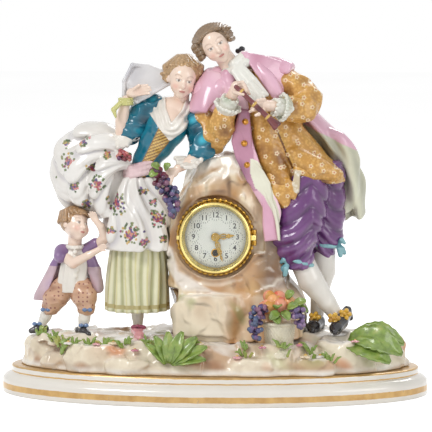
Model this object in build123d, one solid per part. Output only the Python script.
from build123d import *
import math
import os

# A porcelain figural mantel clock: oval plinth, rockwork holding a drum clock, and three figures.
# Lengths are in millimetres. The origin is under the middle of the plinth, the front faces -Y.

HUNDREDTHS = 100
OVERRUN = 60.0
FACE_GAP = 0.1

# Plinth, ground and rockwork
PLINTH_LENGTH = 424.0
PLINTH_DEPTH = 190.0
PLINTH_STEP = 16.0
PLINTH_SHOULDER = 5.0
PLINTH_UPPER = 7.0
PLINTH_INSET = 9.0
PLINTH_WALL = 7.0
PLINTH_TOP = PLINTH_STEP + PLINTH_SHOULDER + PLINTH_UPPER
GROUND_INSET = 6.0
GROUND_RISE = 30.0
GROUND_WALL = 8.0
GROUND_TOP = PLINTH_TOP + GROUND_RISE
ROCK_WIDTH = 150.0
ROCK_DEPTH = 104.0
ROCK_HEIGHT = 184.0
ROCK_SINK = 3.0
ROCK_CENTRE_X = 20.0
ROCK_CENTRE_Y = -8.0

# Each figure: stature and the spot on the ground it stands on
MAN_STATURE = 305.0
MAN_X = 110.0
MAN_Y = 0.0
MAN_STEP = 6.0
WOMAN_STATURE = 277.0
WOMAN_X = -75.0
WOMAN_Y = -12.0
BOY_STATURE = 126.0
BOY_X = -145.0
BOY_Y = -15.0
BOY_STEP = 3.0
BASKET_HEIGHT = 62.0
BASKET_X = 66.0
BASKET_Y = -56.0

# Clock: the seat is the flat of the rock that carries the bezel flange
CLOCK_X = 3.0
CLOCK_Z = 160.0
SEAT_Y = -38.0
CASE_LENGTH = 62.0
CASE_RADIUS = 32.4
CASE_WALL = 1.0
BORE_PLAY = 0.6
SEAT_PLAY = 2.0
FLANGE_RADIUS = 38.0
FLANGE_THICKNESS = 2.5
FLANGE_LOBES = 44
FLANGE_LOBE_HEIGHT = 0.7
FLANGE_LIP = 1.4
REAR_LIP = 0.5

# Bezel door and its glass
DOOR_RADIUS = 35.8
DOOR_SIGHT_RADIUS = 29.9
DOOR_DEPTH = 7.8
DOOR_SHOULDER = 3.4
DOOR_LIP = 1.0
GLASS_RADIUS = 33.4
GLASS_THICKNESS = 1.2
GLASS_DOME = 3.0
GLASS_STEPS = 6
GLASS_PLAY = 0.1
GLASS_LEDGE = 1.0
TAB_WIDTH = 4.0
TAB_REACH = 2.2
TAB_THICKNESS = 1.2

# Hinges of the bezel door and of the rear cover
HINGE_REACH = 2.8
HINGE_RISE = 2.1
KNUCKLE_RADIUS = 1.8
KNUCKLE_LENGTH = 5.0
KNUCKLE_GAP = 0.3
HINGE_BLOCK = 2.2
PIN_RADIUS = 0.8
PIN_PLAY = 0.05
COVER_RADIUS = 33.6
COVER_THICKNESS = 1.5
COVER_HOLE_RADIUS = 3.0

# Dial and hands
DIAL_RADIUS = 30.6
DIAL_THICKNESS = 1.2
DIAL_HOLE = 2.6
WINDING_HOLE = 3.4
FOOT_RADIUS = 0.8
FOOT_CIRCLE = 22.0
HOUR_HAND_LENGTH = 18.5
MINUTE_HAND_LENGTH = 24.5
HAND_THICKNESS = 0.5
HAND_HUB = 2.7
HAND_RIM = 0.45
HOUR_HAND_ANGLE = 5.0
MINUTE_HAND_ANGLE = -74.0

# Movement plates, their distance back from the seat, and the pillars between them
PLATE_THICKNESS = 1.5
FRONT_PLATE_BACK = 5.5
PLATE_GAP = 24.5
PLATE_RADIUS = CASE_RADIUS - CASE_WALL - FACE_GAP
PILLAR_RADIUS = 2.0
PILLAR_CIRCLE = 27.0
PILLAR_ANGLES = (35.0, 125.0, 205.0, 335.0)
TENON_RADIUS = 1.2
SCREW_HEAD_RADIUS = 2.1
SCREW_HEAD_HEIGHT = 1.0
SCREW_SLOT = 0.5

# Going train: tooth counts, modules, and the depth of each wheel behind the seat
PIVOT_RADIUS = 0.6
RUNNING_PLAY = 0.05
BARREL_TEETH = 72
CENTRE_LEAVES = 8
BARREL_MODULE = 0.39
CENTRE_TEETH = 64
THIRD_LEAVES = 8
CENTRE_MODULE = 0.35
THIRD_TEETH = 60
FOURTH_LEAVES = 8
THIRD_MODULE = 0.30
FOURTH_TEETH = 60
ESCAPE_LEAVES = 8
FOURTH_MODULE = 0.28
ESCAPE_TEETH = 15
ESCAPE_RADIUS = 5.0
BARREL_DIRECTION = -90.0
THIRD_DIRECTION = 45.0
FOURTH_DIRECTION = 150.0
ESCAPE_DIRECTION = 200.0
BALANCE_DIRECTION = 160.0
WHEEL_THICKNESS = 1.0
RIM_WIDTH = 1.6
SPOKE_WIDTH = 1.4
SPOKES = 5
HUB_RADIUS = 1.9
CENTRE_WHEEL_BACK = 9.0
GREAT_WHEEL_BACK = 12.5
GREAT_WHEEL_THICKNESS = 2.0
THIRD_WHEEL_BACK = 14.0
FOURTH_WHEEL_BACK = 19.0
ESCAPE_WHEEL_BACK = 27.0
PINION_LENGTH = 3.4
BARREL_RADIUS = 13.2
BARREL_WALL = 0.8
BARREL_BACK = 28.0
ARBOR_RADIUS = 2.0
ARBOR_FRONT = 1.5
SQUARE_SIDE = 2.5
SPRING_TURNS = 6
SPRING_STEPS = 16
SPRING_THICKNESS = 0.5
SPRING_END_GAP = 0.3
RATCHET_RADIUS = 6.0
RATCHET_TEETH = 24
RATCHET_TOOTH = 0.9
RATCHET_BACK = 3.7
CLICK_DIRECTION = 60.0
CLICK_PIVOT_DIRECTION = 105.0
CLICK_PIVOT_DISTANCE = 9.4
CLICK_PIVOT_RADIUS = 1.0
CLICK_EYE = 1.9
CLICK_WIDTH = 1.2
CLICK_GAP = 0.35

# Motion work between the front plate and the dial
CANNON_LEAVES = 12
MINUTE_TEETH = 36
MINUTE_LEAVES = 10
HOUR_TEETH = 40
MOTION_MODULE = 0.30
MOTION_DIRECTION = 150.0
MOTION_THICKNESS = 0.8
CANNON_BACK = 3.6
HOUR_WHEEL_BACK = 2.1
CANNON_RADIUS = 1.4
CENTRE_RADIUS = 0.9
PIPE_WALL = 0.45
HOUR_HAND_FRONT = 1.5
MINUTE_HAND_FRONT = 2.8
CANNON_END = 0.4
STUD_RADIUS = 0.7

# Balance behind the back plate
BALANCE_RADIUS = 9.0
BALANCE_BACK = 38.0
BALANCE_THICKNESS = 1.0
CYLINDER_RADIUS = 1.0
CYLINDER_GAP = 0.3
STAFF_HOLE = 1.6
HAIRSPRING_BACK = 35.0
HAIRSPRING_HEIGHT = 0.6
HAIRSPRING_TURNS = 5
HAIRSPRING_STRIP = 0.25
HAIRSPRING_RADIUS = 6.0
COCK_THICKNESS = 1.6
COCK_BACK = 41.5
COCK_WIDTH = 5.0
COCK_REACH = 12.5
COCK_DIRECTION = -100.0
STUD_WIDTH = 1.2

# Tooth outline as shares of the tooth pitch and of the module
WHEEL_ROOT_SHARE = 0.46
WHEEL_TIP_SHARE = 0.16
WHEEL_ADDENDUM_SHARE = 0.85
WHEEL_DEDENDUM_SHARE = 1.35
LEAF_ROOT_SHARE = 0.30
LEAF_TIP_SHARE = 0.20
LEAF_ADDENDUM_SHARE = 0.60
LEAF_DEDENDUM_SHARE = 1.35

CLOCK = Plane(origin=(CLOCK_X, SEAT_Y, CLOCK_Z), x_dir=(1, 0, 0), z_dir=(0, -1, 0))


# Helpers for clock pieces, in the clock's own frame: right, up, and forward from the seat


def polar(radius, degrees):
    """A point at a radius and an angle, anticlockwise from the right as seen from the front."""
    return (radius * math.cos(math.radians(degrees)), radius * math.sin(math.radians(degrees)))


def shifted(point, radius, degrees):
    """The point moved by a distance in a direction."""
    step = polar(radius, degrees)
    return (point[0] + step[0], point[1] + step[1])


def rod(point, radius, back, front):
    """A cylinder along the clock's axis from a depth behind the seat up to another."""
    length = front - back
    return Pos(point[0], point[1], back + length / 2) * Cylinder(radius, length)


def tube(point, radius, bore, back, front):
    """A rod with a bore right through."""
    return rod(point, radius, back, front) - rod(point, bore, back - OVERRUN, front + OVERRUN)


def slab(outline, back, front):
    """A flat outline raised between two depths."""
    return Pos(0, 0, back) * extrude(outline, front - back)


def tooth_outline(teeth, module, turn, shares):
    """A toothed outline with straight flanks; shares give root, tip, addendum and dedendum."""
    root_share, tip_share, addendum_share, dedendum_share = shares
    pitch = 360 / teeth
    pitch_radius = module * teeth / 2
    tip_radius = pitch_radius + module * addendum_share
    root_radius = pitch_radius - module * dedendum_share
    points = []
    for tooth in range(teeth):
        middle = turn + tooth * pitch
        points.append(polar(root_radius, middle - pitch * root_share / 2))
        points.append(polar(tip_radius, middle - pitch * tip_share / 2))
        points.append(polar(tip_radius, middle + pitch * tip_share / 2))
        points.append(polar(root_radius, middle + pitch * root_share / 2))
    return make_face(Polyline(*points, close=True))


WHEEL_SHARES = (WHEEL_ROOT_SHARE, WHEEL_TIP_SHARE, WHEEL_ADDENDUM_SHARE, WHEEL_DEDENDUM_SHARE)
LEAF_SHARES = (LEAF_ROOT_SHARE, LEAF_TIP_SHARE, LEAF_ADDENDUM_SHARE, LEAF_DEDENDUM_SHARE)


def mesh_turn(driver_turn, driver_teeth, teeth, direction):
    """The turn of a wheel whose gap takes the tooth of its driver, set in a direction from it."""
    pitch = 360 / driver_teeth
    offset = (driver_turn - direction + pitch / 2) % pitch - pitch / 2
    return direction + 180 - offset * driver_teeth / teeth + 180 / teeth


def wheel(point, teeth, module, turn, back, thickness):
    """A spoked wheel."""
    outline = tooth_outline(teeth, module, turn, WHEEL_SHARES)
    rim_radius = module * teeth / 2 - module * WHEEL_DEDENDUM_SHARE - RIM_WIDTH
    web = Circle(rim_radius) - Circle(HUB_RADIUS)
    for spoke in range(SPOKES):
        bar = Pos(rim_radius / 2, 0) * Rectangle(rim_radius, SPOKE_WIDTH)
        web -= Rot(0, 0, turn + spoke * 360 / SPOKES) * bar
    return Pos(point[0], point[1], 0) * slab(outline - web, -back, thickness - back)


def pinion(point, leaves, module, turn, back, length):
    """A leaved pinion."""
    outline = tooth_outline(leaves, module, turn, LEAF_SHARES)
    return Pos(point[0], point[1], 0) * slab(outline, -back, length - back)


def spiral(turns, inner, outer, strip, back, height):
    """A flat spiral strip of even pitch, made of short straight lengths."""
    steps = turns * SPRING_STEPS
    inside = []
    outside = []
    for step in range(steps + 1):
        angle = step * 360 / SPRING_STEPS
        radius = inner + (outer - strip - inner) * step / steps
        inside.append(polar(radius, angle))
        outside.append(polar(radius + strip, angle))
    return slab(make_face(Polyline(*inside, *reversed(outside), close=True)), -back, height - back)


def upright(u, w, radius, middle, length):
    """A cylinder upright in the clock's face."""
    return Pos(u, middle, w) * Rot(90, 0, 0) * Cylinder(radius, length)


# Where each arbor stands, and how each wheel is turned so that teeth meet gaps

CENTRE_AT = (0.0, 0.0)
BARREL_AT = shifted(CENTRE_AT, BARREL_MODULE * (BARREL_TEETH + CENTRE_LEAVES) / 2, BARREL_DIRECTION)
THIRD_AT = shifted(CENTRE_AT, CENTRE_MODULE * (CENTRE_TEETH + THIRD_LEAVES) / 2, THIRD_DIRECTION)
FOURTH_AT = shifted(THIRD_AT, THIRD_MODULE * (THIRD_TEETH + FOURTH_LEAVES) / 2, FOURTH_DIRECTION)
ESCAPE_AT = shifted(FOURTH_AT, FOURTH_MODULE * (FOURTH_TEETH + ESCAPE_LEAVES) / 2, ESCAPE_DIRECTION)
BALANCE_AT = shifted(ESCAPE_AT, ESCAPE_RADIUS + CYLINDER_RADIUS + CYLINDER_GAP, BALANCE_DIRECTION)
MOTION_DISTANCE = MOTION_MODULE * (CANNON_LEAVES + MINUTE_TEETH) / 2
MINUTE_AT = shifted(CENTRE_AT, MOTION_DISTANCE, MOTION_DIRECTION)
HOUR_MODULE = 2 * MOTION_DISTANCE / (MINUTE_LEAVES + HOUR_TEETH)

CENTRE_TURN = BARREL_DIRECTION
BARREL_TURN = mesh_turn(CENTRE_TURN, CENTRE_LEAVES, BARREL_TEETH, BARREL_DIRECTION)
THIRD_TURN = mesh_turn(0, CENTRE_TEETH, THIRD_LEAVES, THIRD_DIRECTION)
FOURTH_TURN = mesh_turn(0, THIRD_TEETH, FOURTH_LEAVES, FOURTH_DIRECTION)
ESCAPE_TURN = mesh_turn(0, FOURTH_TEETH, ESCAPE_LEAVES, ESCAPE_DIRECTION)
MINUTE_TURN = mesh_turn(0, CANNON_LEAVES, MINUTE_TEETH, MOTION_DIRECTION)
HOUR_TURN = mesh_turn(0, MINUTE_LEAVES, HOUR_TEETH, MOTION_DIRECTION + 180)

BACK_PLATE_FRONT = FRONT_PLATE_BACK + PLATE_GAP
BACK_PLATE_BACK = BACK_PLATE_FRONT + PLATE_THICKNESS
FRONT_PLATE_FRONT = FRONT_PLATE_BACK - PLATE_THICKNESS
CASE_INNER = CASE_RADIUS - CASE_WALL
PILLAR_SPOTS = [polar(PILLAR_CIRCLE, angle) for angle in PILLAR_ANGLES]


# Clock case, bezel, glass and hinges


def hinge_knuckles(axis_u, axis_w, plate_w, door_side):
    """Knuckles on one leaf: the middle one belongs to the door, the outer two to the fixed ring."""
    spacing = KNUCKLE_LENGTH + KNUCKLE_GAP
    middles = (0.0,) if door_side else (-spacing, spacing)
    reach = HINGE_REACH + DOOR_LIP if door_side else HINGE_BLOCK
    leaf = None
    for middle in middles:
        rise = axis_w - plate_w
        block = Pos(axis_u - reach / 2, middle, plate_w + rise / 2) * Box(reach, KNUCKLE_LENGTH, abs(rise))
        piece = block + upright(axis_u, axis_w, KNUCKLE_RADIUS, middle, KNUCKLE_LENGTH)
        leaf = piece if leaf is None else leaf + piece
    return leaf


def pin_hole(axis_u, axis_w):
    """Room for a hinge pin."""
    return upright(axis_u, axis_w, PIN_RADIUS + PIN_PLAY, 0, OVERRUN)


DOOR_HINGE_U = DOOR_RADIUS + HINGE_REACH
DOOR_HINGE_W = FLANGE_THICKNESS + HINGE_RISE
DOOR_BACK = FLANGE_THICKNESS + FACE_GAP
REAR_FACE = -CASE_LENGTH - FLANGE_THICKNESS
COVER_FRONT = REAR_FACE - REAR_LIP - FACE_GAP
REAR_HINGE_U = COVER_RADIUS + HINGE_REACH
REAR_HINGE_W = REAR_FACE - HINGE_RISE


def build_flange():
    """The fixed bezel flange with its wavy gadrooned edge and two hinge knuckles."""
    points = []
    for step in range(FLANGE_LOBES * 4):
        angle = step * 90 / FLANGE_LOBES
        wave = math.cos(math.radians(angle * FLANGE_LOBES))
        points.append(polar(FLANGE_RADIUS + FLANGE_LOBE_HEIGHT * wave, angle))
    ring = slab(make_face(Polyline(*points, close=True)), 0, FLANGE_THICKNESS)
    rim = tube(CENTRE_AT, FLANGE_RADIUS - FLANGE_LOBE_HEIGHT, DOOR_RADIUS + FACE_GAP * 3,
               FLANGE_THICKNESS / 2, FLANGE_THICKNESS + FLANGE_LIP)
    hinge_room = Pos(DOOR_HINGE_U, 0, DOOR_HINGE_W) * Box(
        HINGE_REACH * 2, (KNUCKLE_LENGTH + KNUCKLE_GAP) * 3, HINGE_RISE * 2)
    ring += rim - hinge_room
    ring -= rod(CENTRE_AT, CASE_INNER, -OVERRUN, OVERRUN)
    ring += hinge_knuckles(DOOR_HINGE_U, DOOR_HINGE_W, FLANGE_THICKNESS / 2, False)
    return ring - pin_hole(DOOR_HINGE_U, DOOR_HINGE_W)


def build_door():
    """The hinged bezel ring: rounded outside, sloped sight ring inside, groove for the glass."""
    front = DOOR_BACK + DOOR_DEPTH
    groove_back = front - DOOR_LIP - GLASS_THICKNESS - 2 * GLASS_PLAY
    groove_front = front - DOOR_LIP
    groove_radius = GLASS_RADIUS + GLASS_PLAY
    lip_radius = GLASS_RADIUS - GLASS_LEDGE
    crown_radius = DOOR_RADIUS - DOOR_LIP
    profile = Polyline(
        (DOOR_SIGHT_RADIUS, DOOR_BACK),
        (DOOR_RADIUS, DOOR_BACK),
        (DOOR_RADIUS, DOOR_BACK + DOOR_SHOULDER),
        (crown_radius, front),
        (lip_radius, front),
        (lip_radius, groove_front),
        (groove_radius, groove_front),
        (groove_radius, groove_back),
        (lip_radius, groove_back),
        (DOOR_SIGHT_RADIUS, DOOR_BACK + DOOR_LIP),
        close=True,
    )
    ring = revolve(Plane.XZ * make_face(profile), Axis.Z)
    ring += hinge_knuckles(DOOR_HINGE_U, DOOR_HINGE_W, DOOR_HINGE_W + KNUCKLE_RADIUS, True)
    tab = Pos(-DOOR_RADIUS, 0, front - DOOR_SHOULDER) * Box(TAB_REACH * 2, TAB_WIDTH, TAB_THICKNESS)
    ring += tab - rod(CENTRE_AT, DOOR_RADIUS - DOOR_LIP, -OVERRUN, OVERRUN)
    return ring - pin_hole(DOOR_HINGE_U, DOOR_HINGE_W)


def build_glass():
    """The domed glass held in the door's groove."""
    back = DOOR_BACK + DOOR_DEPTH - DOOR_LIP - GLASS_PLAY - GLASS_THICKNESS
    front = back + GLASS_THICKNESS
    edge = GLASS_RADIUS - GLASS_LEDGE - GLASS_PLAY
    steps = [step / GLASS_STEPS for step in range(GLASS_STEPS + 1)]
    rises = [(edge * step, GLASS_DOME * (1 - step ** 2)) for step in steps]
    above = [(radius, front + rise) for radius, rise in rises]
    below = [(radius, back + rise) for radius, rise in reversed(rises)]
    profile = Polyline(*above, (GLASS_RADIUS, front), (GLASS_RADIUS, back), *below, close=True)
    return revolve(Plane.XZ * make_face(profile), Axis.Z)


def build_case():
    """The thin brass drum that goes through the rock."""
    return tube(CENTRE_AT, CASE_RADIUS, CASE_INNER, REAR_FACE - REAR_LIP, 0)


def build_rear_ring():
    """The ring that clamps the drum against the back of the rock, with two hinge knuckles."""
    ring = tube(CENTRE_AT, FLANGE_RADIUS, CASE_RADIUS + FACE_GAP / 2, REAR_FACE, -CASE_LENGTH)
    ring += hinge_knuckles(REAR_HINGE_U, REAR_HINGE_W, REAR_FACE + FLANGE_THICKNESS / 2, False)
    ring -= pin_hole(REAR_HINGE_U, REAR_HINGE_W)
    for screw in build_rear_screws():
        ring -= screw
    return ring


def build_rear_screws():
    """Three radial screws through the rear ring onto the drum."""
    length = FLANGE_RADIUS - CASE_RADIUS - FACE_GAP / 2
    middle = CASE_RADIUS + FACE_GAP / 2 + length / 2
    screws = []
    for angle in PILLAR_ANGLES[:3]:
        spot = polar(middle, angle)
        turned = Rot(0, 0, angle) * Rot(0, 90, 0) * Cylinder(FOOT_RADIUS, length)
        screws.append(Pos(spot[0], spot[1], -CASE_LENGTH - FLANGE_THICKNESS / 2) * turned)
    return screws


def build_cover():
    """The hinged rear cover with a hole for the regulator."""
    cover = rod(CENTRE_AT, COVER_RADIUS, COVER_FRONT - COVER_THICKNESS, COVER_FRONT)
    cover += hinge_knuckles(REAR_HINGE_U, REAR_HINGE_W, REAR_HINGE_W - KNUCKLE_RADIUS, True)
    cover -= rod(BALANCE_AT, COVER_HOLE_RADIUS, -CASE_LENGTH - OVERRUN, 0)
    return cover - pin_hole(REAR_HINGE_U, REAR_HINGE_W)


def build_hinge_pins():
    """The two hinge pins."""
    length = (KNUCKLE_LENGTH + KNUCKLE_GAP) * 3
    return [
        upright(DOOR_HINGE_U, DOOR_HINGE_W, PIN_RADIUS, 0, length),
        upright(REAR_HINGE_U, REAR_HINGE_W, PIN_RADIUS, 0, length),
    ]


# Dial, hands and motion work


def build_dial():
    """The enamel dial on three feet."""
    dial = rod(CENTRE_AT, DIAL_RADIUS, -DIAL_THICKNESS / 2, DIAL_THICKNESS / 2)
    for angle in (80, 190, 350):
        dial += rod(polar(FOOT_CIRCLE, angle), FOOT_RADIUS, -FRONT_PLATE_BACK, 0)
    dial -= rod(CENTRE_AT, DIAL_HOLE, -OVERRUN, OVERRUN)
    return dial - rod(BARREL_AT, WINDING_HOLE, -OVERRUN, OVERRUN)


# Loops of a pierced hand along its length: place, half length and half width as shares of the length
HOUR_LOOP_SHARES = ((0.36, 0.17, 0.13), (0.62, 0.13, 0.17))
MINUTE_LOOP_SHARES = ((0.28, 0.14, 0.07), (0.52, 0.14, 0.09))
HAND_POINT_SHARE = 0.70
HAND_BAR_SHARE = 0.05


def hand_outline(length, loop_shares):
    """A pierced hand pointing right: hub, loops and a pointed end."""
    outline = Circle(HAND_HUB) + Pos(length / 2, 0) * Rectangle(length, length * HAND_BAR_SHARE)
    for place, half_length, half_width in loop_shares:
        loop = Ellipse(length * half_length, length * half_width)
        loop -= Ellipse(length * half_length - HAND_RIM * 2, length * half_width - HAND_RIM)
        outline += Pos(length * place, 0) * loop
    start = length * HAND_POINT_SHARE
    width = length * HAND_BAR_SHARE
    point = make_face(Polyline((start, -width), (length, 0), (start, width), close=True))
    return outline + point


def build_hand(length, loop_shares, angle, front, bore):
    """A hand on its pipe."""
    outline = Rot(0, 0, angle) * hand_outline(length, loop_shares) - Circle(bore)
    return slab(outline, front, front + HAND_THICKNESS)


PIPE_BORE = CANNON_RADIUS + RUNNING_PLAY
PIPE_RADIUS = PIPE_BORE + PIPE_WALL


def build_hour_wheel():
    """The hour wheel on its pipe, through the dial."""
    blank = wheel(CENTRE_AT, HOUR_TEETH, HOUR_MODULE, HOUR_TURN, HOUR_WHEEL_BACK, MOTION_THICKNESS)
    blank += rod(CENTRE_AT, PIPE_RADIUS, -HOUR_WHEEL_BACK, HOUR_HAND_FRONT + HAND_THICKNESS)
    return blank - rod(CENTRE_AT, PIPE_BORE, -OVERRUN, OVERRUN)


def build_cannon():
    """The cannon pinion: leaves at the back, a pipe for the minute hand in front."""
    cannon = pinion(CENTRE_AT, CANNON_LEAVES, MOTION_MODULE, 0, CANNON_BACK, MOTION_THICKNESS)
    cannon += rod(CENTRE_AT, CANNON_RADIUS, -CANNON_BACK, MINUTE_HAND_FRONT + HAND_THICKNESS)
    return cannon - rod(CENTRE_AT, CENTRE_RADIUS + RUNNING_PLAY, -OVERRUN, OVERRUN)


def build_minute_wheel():
    """The minute wheel with its pinion, loose on a stud of the front plate."""
    blank = wheel(MINUTE_AT, MINUTE_TEETH, MOTION_MODULE, MINUTE_TURN, CANNON_BACK, MOTION_THICKNESS)
    leaves = CANNON_BACK - HOUR_WHEEL_BACK + MOTION_THICKNESS
    blank += pinion(MINUTE_AT, MINUTE_LEAVES, HOUR_MODULE, 0, CANNON_BACK, leaves)
    return blank - rod(MINUTE_AT, STUD_RADIUS + RUNNING_PLAY, -OVERRUN, OVERRUN)


# Movement: plates, train, spring barrel, click and balance


def pivot_room(point, radius):
    """A pivot hole through a plate."""
    return rod(point, radius + RUNNING_PLAY, -OVERRUN, OVERRUN)


def build_front_plate():
    """The front plate with the minute stud and the click post."""
    plate = rod(CENTRE_AT, PLATE_RADIUS, -FRONT_PLATE_BACK, -FRONT_PLATE_FRONT)
    for angle in (80, 190, 350):
        plate -= rod(polar(FOOT_CIRCLE, angle), FOOT_RADIUS + FACE_GAP / 2, -OVERRUN, OVERRUN)
    for spot in PILLAR_SPOTS:
        plate -= rod(spot, TENON_RADIUS, -OVERRUN, OVERRUN)
    for spot in (THIRD_AT, FOURTH_AT, ESCAPE_AT, BALANCE_AT):
        plate -= pivot_room(spot, PIVOT_RADIUS)
    plate -= pivot_room(CENTRE_AT, CENTRE_RADIUS)
    plate -= pivot_room(BARREL_AT, ARBOR_RADIUS)
    plate += rod(MINUTE_AT, STUD_RADIUS, -FRONT_PLATE_FRONT, -HOUR_WHEEL_BACK + MOTION_THICKNESS)
    return plate + rod(CLICK_AT, CLICK_PIVOT_RADIUS, -FRONT_PLATE_FRONT, WHEEL_THICKNESS - RATCHET_BACK)


def build_back_plate():
    """The back plate, with room for the balance staff."""
    plate = rod(CENTRE_AT, PLATE_RADIUS, -BACK_PLATE_BACK, -BACK_PLATE_FRONT)
    for spot in PILLAR_SPOTS:
        plate -= rod(spot, TENON_RADIUS, -OVERRUN, OVERRUN)
    for spot in (CENTRE_AT, THIRD_AT, FOURTH_AT, ESCAPE_AT):
        plate -= pivot_room(spot, PIVOT_RADIUS)
    plate -= rod(COCK_SCREW_AT, FOOT_RADIUS, -OVERRUN, OVERRUN)
    plate -= rod(BALANCE_AT, STAFF_HOLE, -OVERRUN, OVERRUN)
    return plate - pivot_room(BARREL_AT, ARBOR_RADIUS)


def build_pillars():
    """Four pillars with tenons in both plates."""
    pillars = []
    for spot in PILLAR_SPOTS:
        pillar = rod(spot, PILLAR_RADIUS, -BACK_PLATE_FRONT, -FRONT_PLATE_BACK)
        pillars.append(pillar + rod(spot, TENON_RADIUS, -BACK_PLATE_BACK, -FRONT_PLATE_FRONT))
    return pillars


def build_screws():
    """Screws: four on the pillars, one on the balance cock, three through the rear ring."""
    screws = build_rear_screws()
    for spot in PILLAR_SPOTS:
        screws.append(screw_head(spot, -BACK_PLATE_BACK))
    cock_screw = screw_head(COCK_SCREW_AT, -COCK_BACK)
    screws.append(cock_screw + rod(COCK_SCREW_AT, FOOT_RADIUS, -COCK_BACK, -BACK_PLATE_FRONT))
    return screws


def screw_head(spot, front):
    """A slotted round head lying on a face that looks back."""
    head = rod(spot, SCREW_HEAD_RADIUS, front - SCREW_HEAD_HEIGHT, front)
    slot = Pos(spot[0], spot[1], front - SCREW_HEAD_HEIGHT) * Box(OVERRUN, SCREW_SLOT, SCREW_SLOT * 2)
    return head - slot


def arbor(point, radius, back, front):
    """An arbor that runs in both plates."""
    return rod(point, radius, -back, -front)


def build_centre_wheel():
    """The centre wheel, its pinion and the long arbor that carries the cannon pinion."""
    blank = wheel(CENTRE_AT, CENTRE_TEETH, CENTRE_MODULE, 0, CENTRE_WHEEL_BACK, WHEEL_THICKNESS)
    pinion_back = GREAT_WHEEL_BACK + FACE_GAP * 4
    blank += pinion(CENTRE_AT, CENTRE_LEAVES, BARREL_MODULE, CENTRE_TURN, pinion_back, PINION_LENGTH)
    blank += arbor(CENTRE_AT, CENTRE_RADIUS, BACK_PLATE_FRONT - FACE_GAP, -MINUTE_HAND_FRONT - CANNON_END)
    return blank + arbor(CENTRE_AT, PIVOT_RADIUS, BACK_PLATE_BACK, BACK_PLATE_FRONT - WHEEL_THICKNESS)


def train_arbor(point, front, back):
    """A thin train arbor with its pivots."""
    return arbor(point, PIVOT_RADIUS, back, front)


def build_third_wheel():
    """The third wheel and pinion."""
    blank = wheel(THIRD_AT, THIRD_TEETH, THIRD_MODULE, 0, THIRD_WHEEL_BACK, WHEEL_THICKNESS)
    pinion_back = THIRD_WHEEL_BACK - WHEEL_THICKNESS
    length = pinion_back - FRONT_PLATE_BACK - WHEEL_THICKNESS
    blank += pinion(THIRD_AT, THIRD_LEAVES, CENTRE_MODULE, THIRD_TURN, pinion_back, length)
    return blank + train_arbor(THIRD_AT, FRONT_PLATE_FRONT, BACK_PLATE_BACK)


def build_fourth_wheel():
    """The fourth wheel and pinion."""
    blank = wheel(FOURTH_AT, FOURTH_TEETH, FOURTH_MODULE, 0, FOURTH_WHEEL_BACK, WHEEL_THICKNESS)
    pinion_back = THIRD_WHEEL_BACK + WHEEL_THICKNESS
    blank += pinion(FOURTH_AT, FOURTH_LEAVES, THIRD_MODULE, FOURTH_TURN, pinion_back, PINION_LENGTH)
    return blank + train_arbor(FOURTH_AT, FRONT_PLATE_FRONT, BACK_PLATE_BACK)


def build_escape_wheel():
    """The escape wheel with pointed teeth, and its pinion."""
    points = []
    pitch = 360 / ESCAPE_TEETH
    for tooth in range(ESCAPE_TEETH):
        points.append(polar(ESCAPE_RADIUS, tooth * pitch))
        points.append(polar(ESCAPE_RADIUS - WHEEL_THICKNESS * 3 / 2, (tooth + 1 / 4) * pitch))
        points.append(polar(ESCAPE_RADIUS - WHEEL_THICKNESS * 3 / 2, (tooth + 3 / 4) * pitch))
    outline = make_face(Polyline(*points, close=True))
    disc = slab(outline, -ESCAPE_WHEEL_BACK, WHEEL_THICKNESS - ESCAPE_WHEEL_BACK)
    blank = Pos(ESCAPE_AT[0], ESCAPE_AT[1], 0) * disc
    pinion_back = FOURTH_WHEEL_BACK + WHEEL_THICKNESS
    blank += pinion(ESCAPE_AT, ESCAPE_LEAVES, FOURTH_MODULE, ESCAPE_TURN, pinion_back, PINION_LENGTH)
    return blank + train_arbor(ESCAPE_AT, FRONT_PLATE_FRONT, BACK_PLATE_BACK)


def build_barrel():
    """The going barrel: toothed great wheel on a hollow drum."""
    disc = slab(tooth_outline(BARREL_TEETH, BARREL_MODULE, BARREL_TURN, WHEEL_SHARES),
                -GREAT_WHEEL_BACK, GREAT_WHEEL_THICKNESS - GREAT_WHEEL_BACK)
    blank = Pos(BARREL_AT[0], BARREL_AT[1], 0) * disc
    blank += rod(BARREL_AT, BARREL_RADIUS, -BARREL_BACK, -GREAT_WHEEL_BACK)
    blank -= rod(BARREL_AT, BARREL_RADIUS - BARREL_WALL, BARREL_WALL - BARREL_BACK, -GREAT_WHEEL_BACK)
    return blank - pivot_room(BARREL_AT, ARBOR_RADIUS)


def build_mainspring():
    """The mainspring coiled in the barrel."""
    height = BARREL_BACK - GREAT_WHEEL_BACK - BARREL_WALL * 2
    coil = spiral(SPRING_TURNS, ARBOR_RADIUS + SPRING_END_GAP, BARREL_RADIUS - BARREL_WALL - FACE_GAP / 2,
                  SPRING_THICKNESS, BARREL_BACK - BARREL_WALL, height)
    return Pos(BARREL_AT[0], BARREL_AT[1], 0) * coil


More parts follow.
